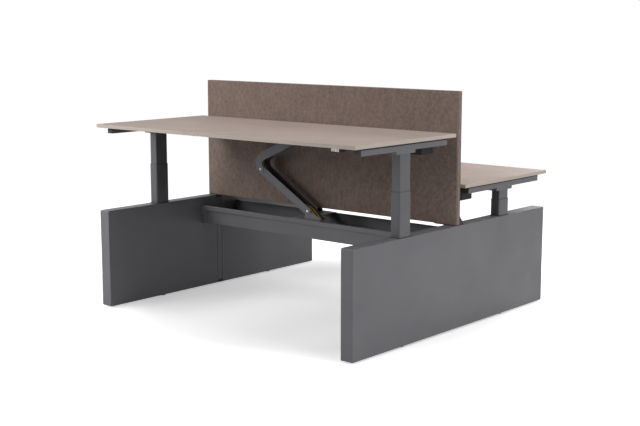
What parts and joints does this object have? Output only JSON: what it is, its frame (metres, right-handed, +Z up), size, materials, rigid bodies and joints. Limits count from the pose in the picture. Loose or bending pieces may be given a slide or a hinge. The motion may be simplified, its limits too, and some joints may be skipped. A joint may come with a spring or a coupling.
{
  "type": "benching desk",
  "caption": "Back-to-back sit-stand bench: lifting worktops on telescopic columns in hollow steel end panels, with cable tray, folding cable arms and fabric screen.",
  "frame": {"origin": "on the floor in the middle of the bench", "axes": "+X along the length of the worktops, +Y from the front desk to the rear desk, +Z up"},
  "size_m": [1.8, 1.69, 1.218],
  "materials": {
    "grey_steel": "fine powder coat, satin",
    "column_steel": "fine powder coat, satin",
    "black_steel": "powder coat, matt",
    "drive_steel": "machined",
    "laminate": "matt laminate on board with a matching edge band",
    "board": "raw board",
    "screen_fabric": "felted wool cloth",
    "black_plastic": "fine grain",
    "white_plastic": "smooth satin",
    "button_plastic": "satin",
    "foot_plastic": "satin"
  },
  "bodies": {
    "base": {"right_panel": "grey_steel", "right_front_cover": "grey_steel", "right_rear_cover": "grey_steel", "right_cable_strip": "grey_steel", "right_tray_end": "grey_steel", "left_panel": "grey_steel", "left_front_cover": "grey_steel", "left_rear_cover": "grey_steel", "left_cable_strip": "grey_steel", "left_tray_end": "grey_steel", "cable_tray": "grey_steel", "arm_carrier": "grey_steel", "right_screen_bracket": "black_steel", "left_screen_bracket": "black_steel", "screen_board": "board", "screen_fabric": "screen_fabric", "front_left_foot": "foot_plastic", "front_left_column_outer": "column_steel", "front_right_foot": "foot_plastic", "front_right_column_outer": "column_steel", "rear_left_foot": "foot_plastic", "rear_left_column_outer": "column_steel", "rear_right_foot": "foot_plastic", "rear_right_column_outer": "column_steel"},
    "front_desk": {"front_desktop": "laminate", "front_left_column_inner": "column_steel", "front_left_drive": "drive_steel", "front_left_side_bar": "grey_steel", "front_right_column_inner": "column_steel", "front_right_drive": "drive_steel", "front_right_side_bar": "grey_steel", "front_crossbar": "black_steel", "front_crossbar_sleeve": "black_steel", "front_control_box": "black_plastic", "front_handset": "white_plastic", "front_arm_hanger": "grey_steel"},
    "front_middle_stage": {"front_left_column_middle": "column_steel", "front_right_column_middle": "column_steel"},
    "front_lower_arm": {"front_lower_arm": "grey_steel"},
    "front_upper_arm": {"front_upper_arm": "grey_steel"},
    "front_button_down": {"front_button_down": "button_plastic"},
    "front_button_up": {"front_button_up": "button_plastic"},
    "rear_desk": {"rear_desktop": "laminate", "rear_left_column_inner": "column_steel", "rear_left_drive": "drive_steel", "rear_left_side_bar": "grey_steel", "rear_right_column_inner": "column_steel", "rear_right_drive": "drive_steel", "rear_right_side_bar": "grey_steel", "rear_crossbar": "black_steel", "rear_crossbar_sleeve": "black_steel", "rear_control_box": "black_plastic", "rear_handset": "white_plastic", "rear_arm_hanger": "grey_steel"},
    "rear_middle_stage": {"rear_left_column_middle": "column_steel", "rear_right_column_middle": "column_steel"},
    "rear_lower_arm": {"rear_lower_arm": "grey_steel"},
    "rear_upper_arm": {"rear_upper_arm": "grey_steel"},
    "rear_button_down": {"rear_button_down": "button_plastic"},
    "rear_button_up": {"rear_button_up": "button_plastic"}
  },
  "joints": [
    {"name": "front_lift", "type": "slide", "parent": "base", "child": "front_desk", "axis": [0, 0, 1], "range_m": [-0.36, 0.29]},
    {"name": "front_middle_slide", "type": "slide", "parent": "base", "child": "front_middle_stage", "axis": [0, 0, 1], "range_m": [-0.18, 0.145]},
    {"name": "front_arm_swing", "type": "hinge", "parent": "base", "child": "front_lower_arm", "pos_m": [0, -0.11, 0.541], "axis": [0, 1, 0], "range_deg": [-30.3, 24.43]},
    {"name": "front_arm_knee", "type": "hinge", "parent": "front_lower_arm", "child": "front_upper_arm", "pos_m": [-0.34466, -0.11, 0.744], "axis": [0, 1, 0], "range_deg": [-48.75, 60.49]},
    {"name": "front_button_down_press", "type": "slide", "parent": "front_desk", "child": "front_button_down", "axis": [0, 1, 0], "range_m": [0, 0.0012], "stiffness_N_per_m": 1200},
    {"name": "front_button_up_press", "type": "slide", "parent": "front_desk", "child": "front_button_up", "axis": [0, 1, 0], "range_m": [0, 0.0012], "stiffness_N_per_m": 1200},
    {"name": "rear_lift", "type": "slide", "parent": "base", "child": "rear_desk", "axis": [0, 0, 1], "range_m": [-0.095, 0.555]},
    {"name": "rear_middle_slide", "type": "slide", "parent": "base", "child": "rear_middle_stage", "axis": [0, 0, 1], "range_m": [-0.0475, 0.2775]},
    {"name": "rear_arm_swing", "type": "hinge", "parent": "base", "child": "rear_lower_arm", "pos_m": [-0.15, 0.11, 0.541], "axis": [0, -1, 0], "range_deg": [-8.07, 46.65]},
    {"name": "rear_arm_knee", "type": "hinge", "parent": "rear_lower_arm", "child": "rear_upper_arm", "pos_m": [0.24584, 0.11, 0.59853], "axis": [0, -1, 0], "range_deg": [-93.21, 16.04]},
    {"name": "rear_button_down_press", "type": "slide", "parent": "rear_desk", "child": "rear_button_down", "axis": [0, -1, 0], "range_m": [0, 0.0012], "stiffness_N_per_m": 1200},
    {"name": "rear_button_up_press", "type": "slide", "parent": "rear_desk", "child": "rear_button_up", "axis": [0, -1, 0], "range_m": [0, 0.0012], "stiffness_N_per_m": 1200}
  ],
  "couplings": [
    {"joint": "front_middle_slide", "follows": "front_lift", "ratio": 0.5},
    {"joint": "front_arm_swing", "follows": "front_lift", "rad_per_m": 1.464},
    {"joint": "front_arm_knee", "follows": "front_lift", "rad_per_m": -2.928},
    {"joint": "rear_middle_slide", "follows": "rear_lift", "ratio": 0.5},
    {"joint": "rear_arm_swing", "follows": "rear_lift", "rad_per_m": 1.464},
    {"joint": "rear_arm_knee", "follows": "rear_lift", "rad_per_m": -2.928}
  ]
}
